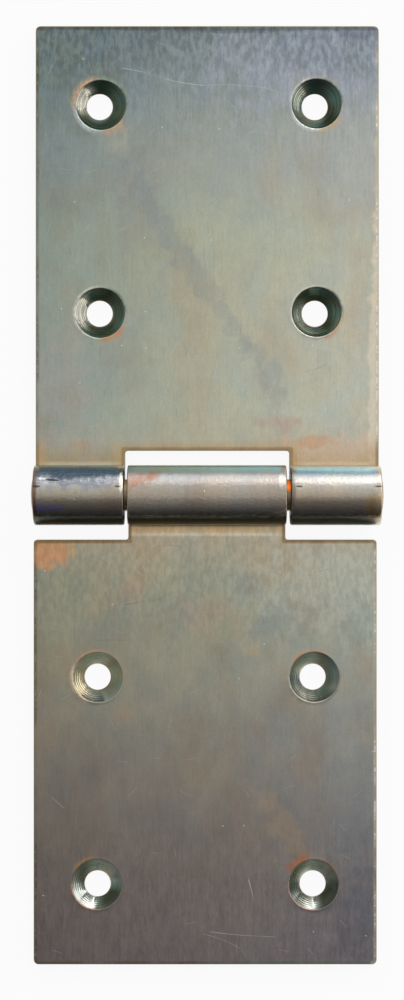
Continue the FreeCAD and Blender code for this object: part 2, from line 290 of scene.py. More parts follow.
def leaf_mesh(name, walls, hollow, sinks, marks, place, materials):
    """One leaf: face and back on one grid of the blank, with rings round the holes and a rim.

    walls are the two lines along which its root is cut, and hollow says where metal is
    missing there: "middle" between them, or "sides" outside them. place says which way the
    leaf is turned, how far it is shifted, and how deep the rolling jaw marked it.
    """
    inward = 1 if hollow == "sides" else -1
    left = walls[0] + inward * PUNCHED
    right = walls[1] - inward * PUNCHED
    side = HALF_WIDTH - PUNCHED
    end = REACH - PUNCHED
    notch = PIN_HEIGHT + 2.15 * MM
    floor = notch + PUNCHED
    lip = -ROLL_TURN * ROLL_MEAN + PUNCHED
    row_in, row_out = HOLE_ROWS
    eye_cells, neck_cells = 90, 18

    # The grid's lines, even round the holes and closer toward the cuts.
    across = ladder(
        (-side, -HOLE_ACROSS - HOLE_PATCH, 10, 0.75),
        (-HOLE_ACROSS - HOLE_PATCH, -HOLE_ACROSS + HOLE_PATCH, PATCH_CELLS, 0),
        (-HOLE_ACROSS + HOLE_PATCH, HOLE_ACROSS - HOLE_PATCH, 30, 0),
        (HOLE_ACROSS - HOLE_PATCH, HOLE_ACROSS + HOLE_PATCH, PATCH_CELLS, 0),
        (HOLE_ACROSS + HOLE_PATCH, side, 10, 0.75),
    )
    along = ladder(
        (lip, 0, eye_cells, 0.3),
        (0, floor, neck_cells, 0.6),
        (floor, row_in - HOLE_PATCH, 24, 0.6),
        (row_in - HOLE_PATCH, row_in + HOLE_PATCH, PATCH_CELLS, 0),
        (row_in + HOLE_PATCH, row_out - HOLE_PATCH, 28, 0),
        (row_out - HOLE_PATCH, row_out + HOLE_PATCH, PATCH_CELLS, 0),
        (row_out + HOLE_PATCH, end, 14, 0.75),
    )
    last_i = len(across) - 1
    last_j = len(along) - 1
    wall_i = int(np.argmin(abs(across - left)))
    wall_k = int(np.argmin(abs(across - right)))
    floor_j = eye_cells + neck_cells
    at_root = ladder(
        (-side, left, wall_i, 0.6),
        (left, right, wall_k - wall_i, 0.6),
        (right, side, last_i - wall_k, 0.6),
    )
    blend = smooth((along - notch - MM) / (row_in - HOLE_PATCH - notch - MM))
    x = at_root[:, None] * (1 - blend) + across[:, None] * blend
    s = np.broadcast_to(along, x.shape)

    # Radii of the free, small and inner corners of the face, and the pairs of corners.
    free = 0.7 * MM - PUNCHED
    small = 0.4 * MM - PUNCHED
    inner = 0.4 * MM + PUNCHED
    rounds = [(-side, side, end, -1, 1, free)]
    if hollow == "middle":
        rounds += [(left, right, floor, -1, 1, inner)]
        rounds += [(-side, left, lip, -1, -1, small), (right, side, lip, -1, -1, small)]
        outline = [
            (0, 0), (wall_i, 0), (wall_i, floor_j), (wall_k, floor_j), (wall_k, 0),
            (last_i, 0), (last_i, last_j), (0, last_j),
        ]
    else:
        rounds += [(left, right, floor, 1, 1, inner)]
        rounds += [(left, right, lip, -1, -1, small), (-side, side, floor, -1, -1, small)]
        outline = [
            (wall_i, 0), (wall_k, 0), (wall_k, floor_j), (last_i, floor_j),
            (last_i, last_j), (0, last_j), (0, floor_j), (wall_i, floor_j),
        ]
    cuts = [(x[i, j], s[i, j]) for i, j in outline]
    for first_x, second_x, at_s, way_x, way_s, radius in rounds:
        x, s = soften(x, s, (first_x, at_s), (way_x, way_s), radius)
        x, s = soften(x, s, (second_x, at_s), (-way_x, way_s), radius)

    # The cells that are metal: not beside the knuckles, and not round the holes.
    cell_i, cell_j = np.meshgrid(np.arange(last_i), np.arange(last_j), indexing="ij")
    at_walls = (cell_i >= wall_i) & (cell_i < wall_k)
    missing = at_walls if hollow == "middle" else ~at_walls
    metal = ~(missing & (cell_j < floor_j))
    patches = []
    for row in HOLE_ROWS:
        for hole_x in (-HOLE_ACROSS, HOLE_ACROSS):
            i0 = int(np.argmin(abs(across - hole_x + HOLE_PATCH)))
            j0 = int(np.argmin(abs(along - row + HOLE_PATCH)))
            metal[i0 : i0 + PATCH_CELLS, j0 : j0 + PATCH_CELLS] = False
            patches.append((hole_x, row, i0, j0))

    number = np.arange(x.size).reshape(x.shape)
    top = quads(number).reshape(last_i, last_j, 4)[metal]
    blank = [np.stack([x, s, np.full(x.shape, w)], -1).reshape(-1, 3) for w in (STRIP, 0.0)]
    faces = [top, top[:, ::-1] + x.size]
    slots = [np.full(2 * len(top), SKIN)]
    count = 2 * x.size

    def add_rows(first, rows_x, rows_s, rows_w, slot):
        """Rows of new points between a line of the face and the same line of the back."""
        nonlocal count
        fresh = count + np.arange(rows_x.size).reshape(rows_x.shape)
        index = np.vstack([first, fresh, first + x.size])
        index = np.hstack([index, index[:, :1]])
        faces.append(quads(index))
        slots.append(slot.repeat(index.shape[1] - 1))
        blank.append(np.stack([rows_x, rows_s, rows_w], -1).reshape(-1, 3))
        count += rows_x.size

    edge_i, edge_j = walk(outline)
    edge_x, edge_s = x[edge_i, edge_j], s[edge_i, edge_j]
    run_x = np.roll(edge_x, -1) - np.roll(edge_x, 1)
    run_s = np.roll(edge_s, -1) - np.roll(edge_s, 1)
    run = np.hypot(run_x, run_s)
    out, high = rim_profile()
    add_rows(
        number[edge_i, edge_j],
        edge_x + out[:, None] * run_s / run,
        edge_s - out[:, None] * run_x / run,
        np.broadcast_to(high[:, None], (len(high), len(edge_x))),
        np.array([SKIN] * 3 + [SHEARED] * (len(out) - 5) + [SKIN] * 3),
    )

    for (hole_x, hole_s, i0, j0), sink in zip(patches, sinks):
        i1, j1 = i0 + PATCH_CELLS, j0 + PATCH_CELLS
        ring_i, ring_j = walk([(i0, j0), (i1, j0), (i1, j1), (i0, j1)])
        ring_x, ring_s = x[ring_i, ring_j], s[ring_i, ring_j]
        angle = np.arctan2(ring_s - hole_s, ring_x - hole_x)
        radius, height, share = hole_rows(angle, sink)
        off_x, off_s = sink["off"]
        rows_x = hole_x + share * off_x * MM + radius * np.cos(angle)
        rows_s = hole_s + share * off_s * MM + radius * np.sin(angle)
        rows_x, rows_s = between(ring_x, rows_x), between(ring_s, rows_s)
        rows_w = np.pad(height, ((2, 2), (0, 0)), "edge")
        slot = np.full(len(rows_x) + 1, SKIN)
        slot[6:-5] = CONE
        add_rows(number[ring_i, ring_j], rows_x, rows_s, rows_w, slot)

    # The points that no face uses go, and the blank is marked and rolled.
    used, faces = np.unique(np.concatenate(faces), return_inverse=True)
    blank = np.concatenate(blank)[used]
    x, s, w = blank.T
    points = np.stack(rolled(x, s, marked(x, s, w, marks, place["jaw_line"])), -1)
    points = points * [place["turn"], place["turn"], 1] + [place["shift"], 0, 0]
    leaf = closed_surface(name, points, faces.reshape(-1, 4), np.concatenate(slots), materials)
    where = leaf.data.attributes.new("Blank", "FLOAT_VECTOR", "POINT")
    where.data.foreach_set("vector", (blank / MM).astype(np.float32).ravel())
    gap = leaf.data.attributes.new("Edge", "FLOAT", "POINT")
    gap.data.foreach_set("value", (from_edge(x, s, cuts) / MM).astype(np.float32))
    return leaf


class Finish:
    """A finish being mixed: each call adds a node or a few, and gives back what comes out."""

    def __init__(self, name, roughness, metallic=1.0):
        self.material = bpy.data.materials.new(name)
        self.material.use_nodes = True
        self.tree = self.material.node_tree
        self.shader = self.tree.nodes["Principled BSDF"]
        self.shader.inputs["Metallic"].default_value = metallic
        self.shader.inputs["Roughness"].default_value = roughness

    def add(self, kind, inputs, output=0, **settings):
        """One node: its settings are set and its inputs fed. Gives one of its outputs."""
        node = self.tree.nodes.new("ShaderNode" + kind)
        for setting, value in settings.items():
            setattr(node, setting, value)
        for socket, value in inputs.items():
            self.feed(node.inputs[socket], value)
        return node.outputs[output]

    def feed(self, socket, value):
        """Joins a socket to what comes out of another node, or sets it to a fixed value."""
        if isinstance(value, bpy.types.NodeSocket):
            self.tree.links.new(value, socket)
        else:
            socket.default_value = value

    def math(self, operation, *values):
        return self.add("Math", dict(enumerate(values)), operation=operation)

    def times(self, product, *factors):
        for factor in factors:
            product = self.math("MULTIPLY", product, factor)
        return product

    def vector(self, operation, *values, output=0):
        return self.add("VectorMath", dict(enumerate(values)), output, operation=operation)

    def split(self, vector):
        node = self.tree.nodes.new("ShaderNodeSeparateXYZ")
        self.tree.links.new(vector, node.inputs[0])
        return node.outputs[0], node.outputs[1], node.outputs[2]

    def blank(self):
        """Place on the flat blank in mm: across, along, and height over the back."""
        return self.add("Attribute", {}, "Vector", attribute_name="Blank")

    def step(self, value, start, end, low=0.0, high=1.0):
        """A smooth change from low to high while the value goes from start to end."""
        span = {"Value": value, "From Min": start, "From Max": end, "To Min": low, "To Max": high}
        return self.add("MapRange", span, interpolation_type="SMOOTHSTEP")

    def cloud(self, where, stretch, detail=2.0, shift=0.0):
        """Noise from 0 to 1 whose lumps are 1 / stretch mm long in each direction."""
        place = self.vector("MULTIPLY_ADD", where, stretch, (shift, shift, 0.7 * shift))
        return self.add("TexNoise", {"Vector": place, "Scale": 1.0, "Detail": detail}, "Fac")

    def mix(self, share, under, over, blend="MIX"):
        return self.add(
            "Mix", {0: share, 6: under, 7: over}, 2, data_type="RGBA", blend_type=blend
        )

    def tones(self, value, low, high, stops):
        """Tones along a value. A stop is a place between low and high, and the tone there."""
        node = self.tree.nodes.new("ShaderNodeValToRGB")
        place = self.add("MapRange", {"Value": value, "From Min": low, "From Max": high})
        self.tree.links.new(place, node.inputs["Fac"])
        marks = node.color_ramp.elements
        while len(marks) < len(stops):
            marks.new(0.5)
        for mark, (at, *shown) in zip(marks, stops):
            mark.position = (at - low) / (high - low)
            mark.color = tone(*shown)
        return node.outputs["Color"]

    def patch(self, where, ragged, at, size, soft, turn=0.0):
        """1 inside an oval of half sizes size about at, its border shifted by a cloud."""
        pose = {"Vector": where, "Location": (*at, 1.0), "Scale": (*size, 50.0)}
        pose["Rotation"] = (0.0, 0.0, math.radians(turn))
        local = self.add("Mapping", pose, vector_type="TEXTURE")
        far = self.vector("LENGTH", local, output="Value")
        return self.step(self.math("ADD", far, ragged), 1 + soft / 2, 1 - soft / 2)

    def halo(self, where, ragged, centre, radius, toward, half, width):
        """1 just outside part of a circle: within width of it, and within half of toward.

        The angle from toward is compared by its cosine, the dot product over the distance.
        """
        off = self.vector("SUBTRACT", where, (*centre, STRIP / MM))
        far = self.vector("LENGTH", off, output="Value")
        way = (math.cos(math.radians(toward)), math.sin(math.radians(toward)), 0.0)
        ahead = self.math("DIVIDE", self.vector("DOT_PRODUCT", off, way, output="Value"), far)
        open_end, full_end = math.radians(half), math.radians(0.45 * half)
        arc = self.step(ahead, math.cos(open_end), math.cos(full_end))
        near = self.math("MULTIPLY_ADD", ragged, 0.22 * width, far)
        return self.times(arc, self.step(near, radius + width, radius + 0.1 * width))

    def dashes(self, where, spacing, length, breadth, share, shift, turn=(0.0, 180.0)):
        """One short straight mark in some of the cells of a net of random cells.

        The offset from the cell's own point is turned by the cell's own angle, and is then
        compared with the half length and the half breadth of the mark.
        """
        place = self.vector("MULTIPLY_ADD", where, (1 / spacing,) * 3, (shift, shift, 0.0))
        net = self.tree.nodes.new("ShaderNodeTexVoronoi")
        net.voronoi_dimensions = "2D"
        net.inputs["Scale"].default_value = 1.0
        self.tree.links.new(place, net.inputs["Vector"])
        offset = self.vector("SUBTRACT", place, net.outputs["Position"])
        draw, chance, _ = self.split(net.outputs["Color"])
        low, high = (math.radians(angle) for angle in turn)
        angle = self.add("MapRange", {"Value": draw, "To Min": low, "To Max": high})
        turned = self.add(
            "VectorRotate", {"Vector": offset, "Angle": angle}, rotation_type="Z_AXIS"
        )
        across, along, _ = self.split(turned)
        thin = self.step(self.math("ABSOLUTE", across), breadth / spacing, 0.3 * breadth / spacing)
        brief = self.step(self.math("ABSOLUTE", along), length / spacing, 0.5 * length / spacing)
        kept = self.math("LESS_THAN", chance, share)
        return self.times(thin, brief, kept)

    def scratch(self, where, points, breadth):
        """A line through points (across, along) in mm, drawn as along = curve(across)."""
        across, along, _ = self.split(where)
        first, last = points[0][0], points[-1][0]
        node = self.tree.nodes.new("ShaderNodeFloatCurve")
        place = self.add("MapRange", {"Value": across, "From Min": first, "From Max": last})
        self.tree.links.new(place, node.inputs["Value"])
        heights = [point[1] for point in points]
        base, rise = min(heights), max(heights) - min(heights)
        curve = node.mapping.curves[0]
        knots = [((at - first) / (last - first), (height - base) / rise) for at, height in points]
        curve.points[0].location = knots[0]
        curve.points[1].location = knots[-1]
        for knot in knots[1:-1]:
            curve.points.new(*knot)
        node.mapping.update()
        line = self.math("MULTIPLY_ADD", node.outputs["Value"], rise, base)
        off = self.math("ABSOLUTE", self.math("SUBTRACT", along, line))
        thin = self.step(off, breadth, 0.2 * breadth)
        ends = self.times(self.step(place, 0.0, 0.04), self.step(place, 1.0, 0.96))
        return self.times(thin, ends)

    def scaled(self, vector, factor):
        return self.add("VectorMath", {0: vector, "Scale": factor}, operation="SCALE")

    def dress(self, colour, relief, strength, depth, rough=None):
        """Feeds the shader a colour, a relief (strength, depth in mm) and perhaps a roughness."""
        bump = {"Height": relief, "Strength": strength, "Distance": depth * MM}
        self.feed(self.shader.inputs["Base Color"], colour)
        self.feed(self.shader.inputs["Normal"], self.add("Bump", bump, "Normal"))
        if rough is not None:
            self.feed(self.shader.inputs["Roughness"], rough)
        return self.material


def tone(red, green, blue):
    """A colour given as it shows on a screen, 0 to 255."""
    shown = np.array([red, green, blue]) / 255
    light = np.where(shown <= 0.04045, shown / 12.92, ((shown + 0.055) / 1.055) ** 2.4)
    return (*light.tolist(), 1.0)


ORANGE = tone(214, 152, 104)
TAN = tone(206, 178, 138)
BLUISH = tone(138, 146, 152)
# A pale tone painted on the burrs round the sinks as highlight, and a dark one that serves both for
# dark scratches and for painted shade outside the sinks' rims.
PAINTED_BURR_HIGHLIGHT = tone(232, 228, 214)
DARK_SCRATCH_AND_SHADE = tone(110, 118, 104)
SCORED = tone(226, 226, 220)


def zinc_skin(
    name, stops, painted_side_shade, top_grain, scuffs, blue_sheen_at, blue_sheen_tones, brown_side, root_glow, patches, sinks,
    scratches, seed,
):
    """The passivated zinc on the flat of a leaf and round its knuckles.

    stops are tones along the strip, with highlight and shade painted round the knuckle and at
    the root, and the tones across it are painted shade, darker on the side away from the lamps.
    top_grain is where along the strip the rolling streaks grow strong, scuffs between which
    places it is scuffed and how much; a painted blue sheen runs along the knuckle at the given
    place, from the first of the two blue tones at one side to the second at the other. The
    given side's cut is brown and the other's pale, a painted highlight, and root_glow is how
    golden the neck is beside its cuts.
    """
    skin = Finish(name, 0.3)
    place = skin.blank()
    across, along, height = skin.split(place)
    flat = skin.step(along, 2.0, 4.0)
    loose = skin.step(along, 7.0, 16.0)
    broad = skin.cloud(place, (0.09, 0.06, 0.3), 2.0, seed)
    lumps = skin.cloud(place, (0.22, 0.13, 0.4), 6.0, seed + 5.1)
    rosy = skin.cloud(place, (0.16, 0.1, 0.4), 6.0, seed + 17.3)
    ragged = skin.cloud(place, (0.5, 0.45, 0.3), 4.0, seed + 9.0)
    ragged = skin.math("MULTIPLY_ADD", ragged, 3.2, -1.6)

    # Its tones along the strip, with painted highlight and shade round the knuckle and at the
    # root, painted shade across it, darker on the side away from the lamps, and cool and warm
    # clouds.
    drift = skin.times(skin.math("MULTIPLY_ADD", broad, 16.0, -8.0), loose)
    colour = skin.tones(skin.math("ADD", along, drift), -18.0, 70.0, stops)
    drift = skin.math("MULTIPLY_ADD", lumps, 14.0, -7.0)
    sides = skin.tones(skin.math("ADD", across, drift), -26.0, 26.0, painted_side_shade)
    colour = skin.mix(skin.step(along, 3.0, 12.0, 0.45, 1.0), colour, sides, "MULTIPLY")
    calm = skin.step(along, 40.0, 58.0, 0.8, 0.3)
    cool = skin.times(skin.step(lumps, 0.35, 0.7), calm)
    colour = skin.mix(cool, colour, tone(236, 244, 255), "MULTIPLY")
    warm = skin.times(skin.step(rosy, 0.42, 0.72), calm)
    colour = skin.mix(warm, colour, tone(255, 240, 230), "MULTIPLY")

    # Stains, painted highlights and painted shade, on the outside only: the face, and round the
    # knuckle the back. Round the sinks the orange, tan and greenish arcs are stains, the pale
    # arcs painted highlights on the burr, and the dark arcs painted shade where the face dips
    # into the sink.
    clean = colour
    for at, size, soft, shade, strength, *turn in patches:
        spot = skin.patch(place, skin.times(ragged, soft), at, size, soft, *turn)
        colour = skin.mix(skin.times(spot, strength), colour, shade)

    crumbs = skin.step(skin.cloud(place, (2.0, 2.0, 0.3), 2.0, seed + 19.0), 0.3, 0.6, 0.4, 1.0)
    for (hole_x, hole_s), sink in zip(HOLES, sinks):
        centre = (hole_x + sink["off"][0], hole_s + sink["off"][1])
        for toward, half, width, shade, strength in sink["arcs_of_stain_light_and_shade"]:
            arc = skin.halo(place, ragged, centre, SINK_RADIUS / MM, toward, half, width)
            colour = skin.mix(skin.times(arc, crumbs, strength), colour, shade)
    outer = skin.math("ADD", skin.step(height, 0.8, 1.2), skin.math("SUBTRACT", flat, 1.0))
    outer = skin.math("ABSOLUTE", outer)
    colour = skin.mix(outer, clean, colour)

    # The blue band along the knuckle: a painted sheen, the blue that its film shows where it is
    # seen at a grazing angle from above.
    edge = skin.add("Attribute", {}, "Fac", attribute_name="Edge")
    off_band = skin.math("ABSOLUTE", skin.math("SUBTRACT", along, blue_sheen_at))
    painted_blue_sheen = skin.times(skin.step(off_band, 1.3, 0.2), skin.step(height, 0.5, 0.2))
    painted_blue_sheen = skin.times(painted_blue_sheen, skin.step(edge, 0.2, 0.9), 0.85)
    colour = skin.mix(painted_blue_sheen, colour, skin.mix(skin.step(across, -12.0, 12.0), *blue_sheen_tones))

    # The cuts: brown, green or pale along the sides, with bright nicks, and golden at the root.
    # The pale down the side that is not brown is a painted highlight, on the cut that faces the
    # lamps.
    side = skin.step(across, -2.0 * brown_side, 2.0 * brown_side)
    at_side = skin.step(skin.math("ABSOLUTE", across), 23.9, 24.5)
    trim = skin.mix(skin.step(along, 14.0, 30.0), tone(160, 124, 72), tone(106, 118, 98))
    trim = skin.mix(at_side, trim, tone(222, 200, 164))
    trim = skin.mix(side, trim, tone(104, 88, 68))
    cut_colour_and_highlight = skin.times(skin.step(edge, 0.4, 0.0), skin.step(lumps, 0.35, 0.6, 0.15, 0.75), flat)
    colour = skin.mix(cut_colour_and_highlight, colour, trim)
    nicks = skin.times(skin.step(crumbs, 0.86, 1.0), skin.step(edge, 0.16, 0.04), at_side, flat)
    nicks = skin.times(nicks, skin.step(lumps, 0.44, 0.56), skin.step(side, 1.0, 0.0, 0.15, 0.9))
    colour = skin.mix(nicks, colour, tone(250, 244, 230))
    root = skin.times(skin.step(along, 9.0, 6.0), flat)
    rim = skin.times(skin.step(edge, 0.38, 0.08), root, 0.8)
    colour = skin.mix(rim, colour, tone(136, 106, 62))
    glow = skin.times(skin.step(edge, 2.2, 0.5), root, root_glow)
    colour = skin.mix(glow, colour, tone(206, 168, 118))

    # The streaks of the rolling mill, and dust.
    grain = skin.cloud(place, (2.6, 0.22, 0.6), 4.0, seed)
    fine = skin.cloud(place, (6.5, 1.1, 0.8), 3.0, seed + 3.0)
    dust = skin.cloud(place, (4.0, 3.2, 2.0), 2.0, seed + 7.0)
    mottle = skin.cloud(place, (0.9, 0.5, 0.4), 5.0, seed + 13.0)
    streaks = skin.step(along, top_grain, top_grain + 16.0, 0.16, 0.42)
    light = skin.math("ADD", skin.math("ADD", grain, fine), mottle)
    light = skin.times(skin.math("SUBTRACT", light, 1.5), streaks)
    light = skin.math("ADD", light, 1.0)
    light = skin.math("MULTIPLY_ADD", dust, 0.2, skin.math("SUBTRACT", light, 0.1))
    colour = skin.scaled(colour, light)

    # Scuffs, short marks, specks, and the scratches that are given one by one.
    scuff = skin.step(skin.cloud(place, (1.6, 0.7, 0.4), 6.0, seed + 29.0), 0.4, 0.6)
    reach = skin.math("MULTIPLY_ADD", broad, 10.0, skin.math("SUBTRACT", along, 5.0))
    scuff = skin.times(scuff, skin.step(reach, scuffs[0], scuffs[1], 0.0, scuffs[2]), flat)
    colour = skin.mix(scuff, colour, tone(196, 198, 204), "MULTIPLY")
    dark = skin.dashes(place, 2.9, 0.9, 0.08, 0.3, seed, (-18.0, 18.0))
    pale = skin.dashes(place, 4.7, 1.0, 0.05, 0.3, seed + 2.0)
    pale = skin.times(pale, flat)
    specks = skin.dashes(place, 5.3, 0.16, 0.09, 0.14, seed + 4.0)
    colour = skin.mix(skin.times(dark, 0.16), colour, tone(80, 78, 76))
    colour = skin.mix(skin.times(pale, 0.3), colour, tone(225, 222, 214))
    colour = skin.mix(skin.times(specks, 0.75), colour, tone(240, 238, 230))
    for points, breadth, strength, shade in scratches:
        scored = skin.times(skin.scratch(place, points, breadth), strength, outer)
        scored = skin.times(scored, skin.step(lumps, 0.35, 0.6, 0.25, 1.0))
        colour = skin.mix(scored, colour, shade)

    # Roughness, and a fine relief that is far coarser at the scuffed end of one knuckle.
    rough = skin.math("MULTIPLY_ADD", grain, 0.12, skin.step(along, -2.0, 4.0, 0.14, 0.26))
    rough = skin.math("MULTIPLY_ADD", pale, 0.2, rough)
    dents = skin.cloud(place, (1.8, 3.4, 0.5), 4.0, seed + 11.0)
    relief = skin.math("MULTIPLY_ADD", grain, 0.25, skin.times(fine, 0.12))
    scuffed = skin.patch(place, ragged, (-18.5, -12.9), (7.5, 0.9), 1.0)
    scuffed = skin.math("MULTIPLY_ADD", scuffed, 24.0, skin.step(along, 0.0, 6.0, 5.0, 0.3))
    relief = skin.math("MULTIPLY_ADD", dents, scuffed, relief)
    relief = skin.math("MULTIPLY_ADD", pale, -0.3, relief)
    return skin.dress(colour, relief, 0.7, 0.01, rough)


def sheared_edge(name):
    """The punched wall: a smooth band where the die cut, duller and torn where it broke away."""
    wall = Finish(name, 0.42)
    place = wall.blank()
    height = wall.split(place)[2]
    tear = wall.cloud(place, (2.6, 2.6, 0.5), 3.0, 2.0)
    blotch = wall.cloud(place, (0.3, 0.3, 0.3), 4.0, 6.0)
    depth = wall.math("MULTIPLY_ADD", blotch, 0.9, height)
    colour = wall.mix(wall.step(tear, 0.2, 0.8), tone(112, 106, 96), tone(134, 128, 116))
    colour = wall.mix(wall.step(depth, 1.6, 1.85), colour, tone(152, 142, 124))
    colour = wall.mix(wall.step(blotch, 0.56, 0.7, 0.0, 0.45), colour, tone(150, 112, 76))
    return wall.dress(colour, tear, 0.4, 0.02, wall.step(depth, 1.6, 1.85, 0.5, 0.3))


def sink_cut(name, dull, green, facet_highlight, ringing, sinks):
    """The turned cones of one leaf: dull zinc with rings, and a highlight painted on the facets
    where the tool chattered.

    Each sink names the sides of its cone that get painted shade and painted light. ringing is
    the contrast of the rings.
    """
    cone = Finish(name, 0.2)
    place = cone.blank()
    height = cone.split(place)[2]
    patchy = cone.cloud(place, (0.5, 0.5, 0.5), 3.0, 4.0)
    rings = cone.cloud(place, (0.25, 0.25, 5.0), 3.0)
    colour = cone.mix(cone.step(patchy, 0.3, 0.7), dull, green)
    colour = cone.mix(cone.step(height, 0.45, 0.25, 0.0, 0.5), colour, tone(176, 122, 92))
    ragged = cone.math("MULTIPLY_ADD", patchy, 1.2, -0.6)
    for (hole_x, hole_s), sink in zip(HOLES, sinks):
        off_x, off_s = sink["off"]
        # The chatter facets get a painted highlight, and the named sides their painted shade and
        # painted light.
        for begin, stop, share in sink["facets"]:
            turn = math.radians((begin + stop) / 2)
            at = (hole_x + off_x + 2.8 * math.cos(turn), hole_s + off_s + 2.8 * math.sin(turn))
            size = (1.5, 0.4 + 1.4 * math.radians(stop - begin))
            spot = cone.patch(place, ragged, at, size, 0.8, math.degrees(turn))
            colour = cone.mix(cone.times(spot, min(1.0, 2.0 * share)), colour, facet_highlight)
        for side, strength, shade in sink["sides"]:
            turn = math.radians(side)
            at = (hole_x + off_x + 2.9 * math.cos(turn), hole_s + 2.9 * math.sin(turn))
            spot = cone.patch(place, ragged, at, (1.3, 2.6), 1.0, side)
            colour = cone.mix(cone.times(spot, strength), colour, shade)
    rings_light = cone.math("MULTIPLY_ADD", rings, ringing, 1.0 - 0.5 * ringing)
    return cone.dress(cone.scaled(colour, rings_light), rings, 0.35 * ringing, 0.02)


# The upper leaf: its root is notched in the middle, so it keeps the two outer knuckles. Its
# left cut is brown, and the drill threw orange stain round the sinks; pale and dark arcs
# round them are painted highlights and painted shade.
# Tones along the strip, with painted light round the knuckle: a pale cream line on its side toward
# the window, a brighter neutral band where the highlight falls, and a dark line of painted shade on
# its side away from the window. At the root a pale cream line is a painted highlight, and the plate
# darkens towards its far end, where it turns bluer.
upper_stops_with_painted_light = [
    (-18, 120, 118, 114), (-15.5, 150, 140, 120), (-14.9, 226, 214, 190),
    (-14.5, 206, 206, 196), (-13.5, 128, 134, 138), (-12.4, 200, 196, 190),
    (-10.6, 194, 178, 156), (-9.8, 164, 148, 134), (-8.3, 150, 140, 130), (-7.95, 62, 62, 56),
    (-7.5, 110, 112, 100), (-4, 128, 124, 112), (4.4, 255, 240, 206), (4.6, 255, 236, 196),
    (4.85, 206, 180, 136), (8, 217, 207, 182), (12, 216, 213, 192), (21, 214, 208, 186),
    (38, 205, 203, 182), (50, 189, 188, 179), (60, 165, 172, 172), (70, 144, 153, 158),
]
# Painted shade across the strip: darker and cooler towards the left, away from the lamps.
upper_painted_side_shade = [
    (-26, 192, 206, 210), (0, 237, 238, 230), (26, 255, 255, 255),
]
# Stains and tints, and some painted light and shade on the knuckles and the right edge, as marked.
upper_stains_and_painted_light = [
    ((-22, 62.5), (7, 8.5), 1.3, tone(128, 137, 124), 0.65),
    ((15, 63), (13, 6), 1.2, tone(176, 178, 190), 0.5),
    ((-12.6, 51.8), (1.6, 1.6), 1.8, tone(196, 184, 156), 0.35),
    ((18.5, 6.4), (7, 2.4), 1, tone(236, 200, 170), 0.5),
    ((10.5, 10.6), (2.6, 1.2), 0.9, tone(206, 166, 150), 0.45),
    ((15.5, 7.9), (2.6, 0.9), 0.8, ORANGE, 0.4),
    ((-18.6, 7.4), (1.2, 0.7), 0.8, ORANGE, 0.3),
    ((-2.2, 33), (1.5, 17), 0.8, BLUISH, 0.26, 34.5),
    ((-8.6, 41.5), (2.6, 6), 1.2, BLUISH, 0.22, 30),
    ((8.4, 18), (1.7, 5), 0.9, BLUISH, 0.2, 24),
    ((-12.4, 20), (3, 4.6), 1.2, BLUISH, 0.2, -10),
    # A painted highlight down the right edge, on the cut that faces the lamps.
    ((25, 34), (0.5, 24), 1.2, tone(226, 204, 170), 0.5),
    ((25, 14), (1.5, 27), 0.4, tone(243, 226, 198), 0.7),
    ((-23.2, -9.1), (2.6, 0.45), 0.6, tone(120, 112, 190), 0.45),
    # Painted shade dulling the highlight on the left knuckle.
    ((-18.5, -12.5), (7.6, 1.2), 0.8, tone(138, 140, 148), 0.8),
    # The dark navy part of the painted blue sheen on the left knuckle.
    ((-18.3, -13.3), (6.6, 0.9), 0.8, tone(54, 70, 82), 0.85),
    ((-24.9, -11), (0.45, 4), 0.6, tone(110, 80, 56), 0.8),
    # A painted highlight down the right end of the left knuckle.
    ((-12.35, -11.9), (0.3, 1.1), 0.6, tone(255, 244, 226), 0.9),
    # Painted shade on the left end of the right knuckle.
    ((12.2, -11), (0.45, 3), 0.8, tone(84, 92, 82), 0.6),
    ((24, -8.9), (1.4, 1.5), 0.8, tone(176, 142, 92), 0.6),
    ((-22.3, -12.3), (1.1, 0.14), 0.4, tone(30, 26, 24), 0.85, 4),
    # A painted highlight beside the dent in the left knuckle.
    ((-23.6, -12.45), (0.6, 0.16), 0.6, tone(236, 232, 236), 0.4),
    ((-24.75, 68.15), (0.35, 0.3), 0.4, tone(150, 92, 72), 0.7),
    ((0, 68), (42, 0.24), 0.6, tone(88, 90, 88), 0.5),
    ((5, 67.7), (9, 0.3), 1, tone(92, 92, 98), 0.45),
    ((22.4, 67.2), (2, 0.9), 1.4, tone(100, 106, 122), 0.35),
    ((-22, 16), (5, 10), 1.4, tone(193, 174, 166), 0.3),
]
upper_stains_and_painted_light += [
    ((across, -11.5), (half, 0.13), 0.5, tone(60, 54, 48), 0.8)
    for across, half in ((-24.4, 0.6), (-12.8, 0.5), (13.1, 0.55), (24.5, 0.55))
]
upper_scratches = [
    ([(-24.2, 61.5), (-21.5, 61.3), (-18.6, 61.8), (-15, 62.5)], 0.07, 0.6, DARK_SCRATCH_AND_SHADE),
    ([(-12.6, 62.3), (-9.5, 61.7), (-4, 60.2), (-0.2, 59.7)], 0.06, 0.6, SCORED),
    ([(-0.2, 59.7), (4, 59.8), (11, 58.5)], 0.06, 0.35, SCORED),
    ([(8.5, 13.2), (10, 17.2)], 0.14, 0.5, SCORED),
    ([(-19.3, 33.6), (-18.4, 36.4)], 0.16, 0.5, SCORED),
    ([(1, 16.6), (1.4, 19.4)], 0.4, 0.4, SCORED),
    ([(-5.8, 15.6), (-5.4, 17.2)], 0.3, 0.4, SCORED),
    ([(16, 9.4), (17, 12.2), (17.5, 12.8)], 0.2, 0.4, SCORED),
    ([(-5.3, 20.6), (-4, 22.6)], 0.14, 0.35, SCORED),
    ([(14.2, 18), (15.5, 18.3), (17.4, 19.1)], 0.07, 0.5, DARK_SCRATCH_AND_SHADE),
]
SHADED = tone(72, 74, 62)
